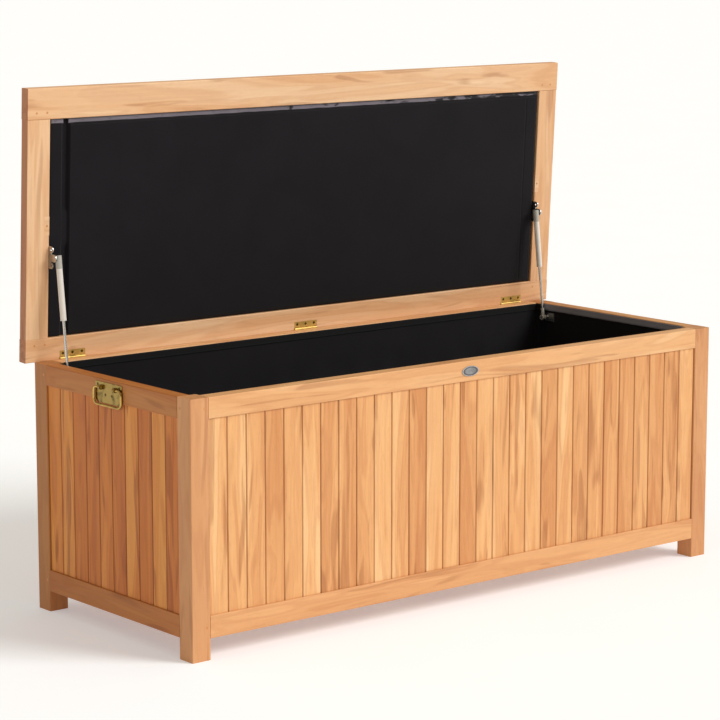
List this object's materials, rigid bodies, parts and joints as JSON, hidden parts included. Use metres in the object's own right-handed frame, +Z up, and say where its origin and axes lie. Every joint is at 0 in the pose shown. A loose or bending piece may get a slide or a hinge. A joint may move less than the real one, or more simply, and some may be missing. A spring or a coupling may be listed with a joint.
{
  "type": "deck storage box",
  "caption": "Slatted hardwood deck storage box with a fabric liner, a hinged lid held by gas struts and a drop handle on each end.",
  "frame": {"origin": "centre of the bounding box's base, on the ground, with the lid open", "axes": "+X along the box to its right end, +Y to the hinge side, +Z up; the front faces -Y"},
  "size_m": [1.5, 0.5953, 1.1145],
  "materials": {
    "teak_upright": "oiled, satin",
    "teak_across": "oiled, satin",
    "teak_deep": "oiled, satin",
    "teak_boards": "oiled, satin",
    "teak_lid_across": "oiled, satin",
    "teak_lid_stile": "oiled, satin",
    "teak_lid_boards": "oiled, satin",
    "teak_pegs": "oiled end grain",
    "brass": "polished",
    "zinc_steel": "zinc plated",
    "strut_chrome": "polished",
    "strut_paint": "satin",
    "strut_nylon": "matte",
    "liner_cloth": "woven, matte",
    "grey_webbing": "woven, matte",
    "pewter": "satin"
  },
  "bodies": {
    "case": {"front_left_post": "teak_upright", "front_right_post": "teak_upright", "rear_left_post": "teak_upright", "rear_right_post": "teak_upright", "front_top_rail": "teak_across", "rear_top_rail": "teak_across", "left_top_rail": "teak_deep", "right_top_rail": "teak_deep", "front_bottom_rail": "teak_across", "rear_bottom_rail": "teak_across", "left_bottom_rail": "teak_deep", "right_bottom_rail": "teak_deep", "front_slats": "teak_boards", "rear_slats": "teak_boards", "left_slats": "teak_boards", "right_slats": "teak_boards", "case_pegs": "teak_pegs", "floor_bearers": "teak_across", "floor_boards": "teak_deep", "box_liner": "liner_cloth", "box_liner_band": "grey_webbing", "badge": "pewter", "left_hinge_case_leaf": "brass", "centre_hinge_case_leaf": "brass", "right_hinge_case_leaf": "brass", "hinge_pins": "brass", "hinge_case_screws": "brass", "left_strut_case_bracket": "zinc_steel", "right_strut_case_bracket": "zinc_steel", "strut_case_screws": "zinc_steel", "left_handle_plate": "brass", "right_handle_plate": "brass", "handle_screws": "brass"},
    "lid": {"lid_front_rail": "teak_lid_across", "lid_rear_rail": "teak_lid_across", "lid_left_stile": "teak_lid_stile", "lid_right_stile": "teak_lid_stile", "lid_batten": "teak_lid_across", "lid_slats_panel": "teak_lid_boards", "lid_pegs": "teak_pegs", "lid_liner": "liner_cloth", "lid_liner_band": "grey_webbing", "left_hinge_lid_leaf": "brass", "centre_hinge_lid_leaf": "brass", "right_hinge_lid_leaf": "brass", "hinge_lid_screws": "brass", "left_strut_lid_bracket": "zinc_steel", "right_strut_lid_bracket": "zinc_steel", "strut_lid_screws": "zinc_steel"},
    "left_strut_rod": {"left_strut_end_eye": "strut_nylon", "left_strut_rod": "strut_chrome"},
    "left_strut_cylinder": {"left_strut_cylinder": "strut_paint", "left_strut_cap": "strut_nylon"},
    "right_strut_rod": {"right_strut_end_eye": "strut_nylon", "right_strut_rod": "strut_chrome"},
    "right_strut_cylinder": {"right_strut_cylinder": "strut_paint", "right_strut_cap": "strut_nylon"},
    "left_handle_bail": {"left_handle_bail": "brass"},
    "right_handle_bail": {"right_handle_bail": "brass"}
  },
  "joints": [
    {"name": "lid_hinge", "type": "hinge", "parent": "case", "child": "lid", "pos_m": [0, 0.27365, 0.5346], "axis": [1, 0, 0], "range_deg": [0, 86.8], "stiffness_Nm_per_rad": 7, "springref_deg": -34.38},
    {"name": "left_strut_swing", "type": "hinge", "parent": "case", "child": "left_strut_rod", "pos_m": [-0.683, 0.21205, 0.502], "axis": [1, 0, 0], "range_deg": [0, 92.07]},
    {"name": "left_strut_stroke", "type": "slide", "parent": "left_strut_rod", "child": "left_strut_cylinder", "axis": [0, 0.1165, 0.9932], "range_m": [-0.094, 0]},
    {"name": "right_strut_swing", "type": "hinge", "parent": "case", "child": "right_strut_rod", "pos_m": [0.683, 0.21205, 0.502], "axis": [1, 0, 0], "range_deg": [0, 92.07]},
    {"name": "right_strut_stroke", "type": "slide", "parent": "right_strut_rod", "child": "right_strut_cylinder", "axis": [0, 0.1165, 0.9932], "range_m": [-0.094, 0]},
    {"name": "left_handle_hinge", "type": "hinge", "parent": "case", "child": "left_handle_bail", "pos_m": [-0.735, -0.01295, 0.517], "axis": [0, 1, 0], "range_deg": [0, 95]},
    {"name": "right_handle_hinge", "type": "hinge", "parent": "case", "child": "right_handle_bail", "pos_m": [0.735, -0.01295, 0.517], "axis": [0, -1, 0], "range_deg": [0, 95]}
  ],
  "couplings": [
    {"joint": "left_strut_swing", "follows": "lid_hinge", "ratio": 1.0605},
    {"joint": "left_strut_stroke", "follows": "lid_hinge", "m_per_rad": -0.062027},
    {"joint": "right_strut_swing", "follows": "lid_hinge", "ratio": 1.0605},
    {"joint": "right_strut_stroke", "follows": "lid_hinge", "m_per_rad": -0.062027}
  ]
}
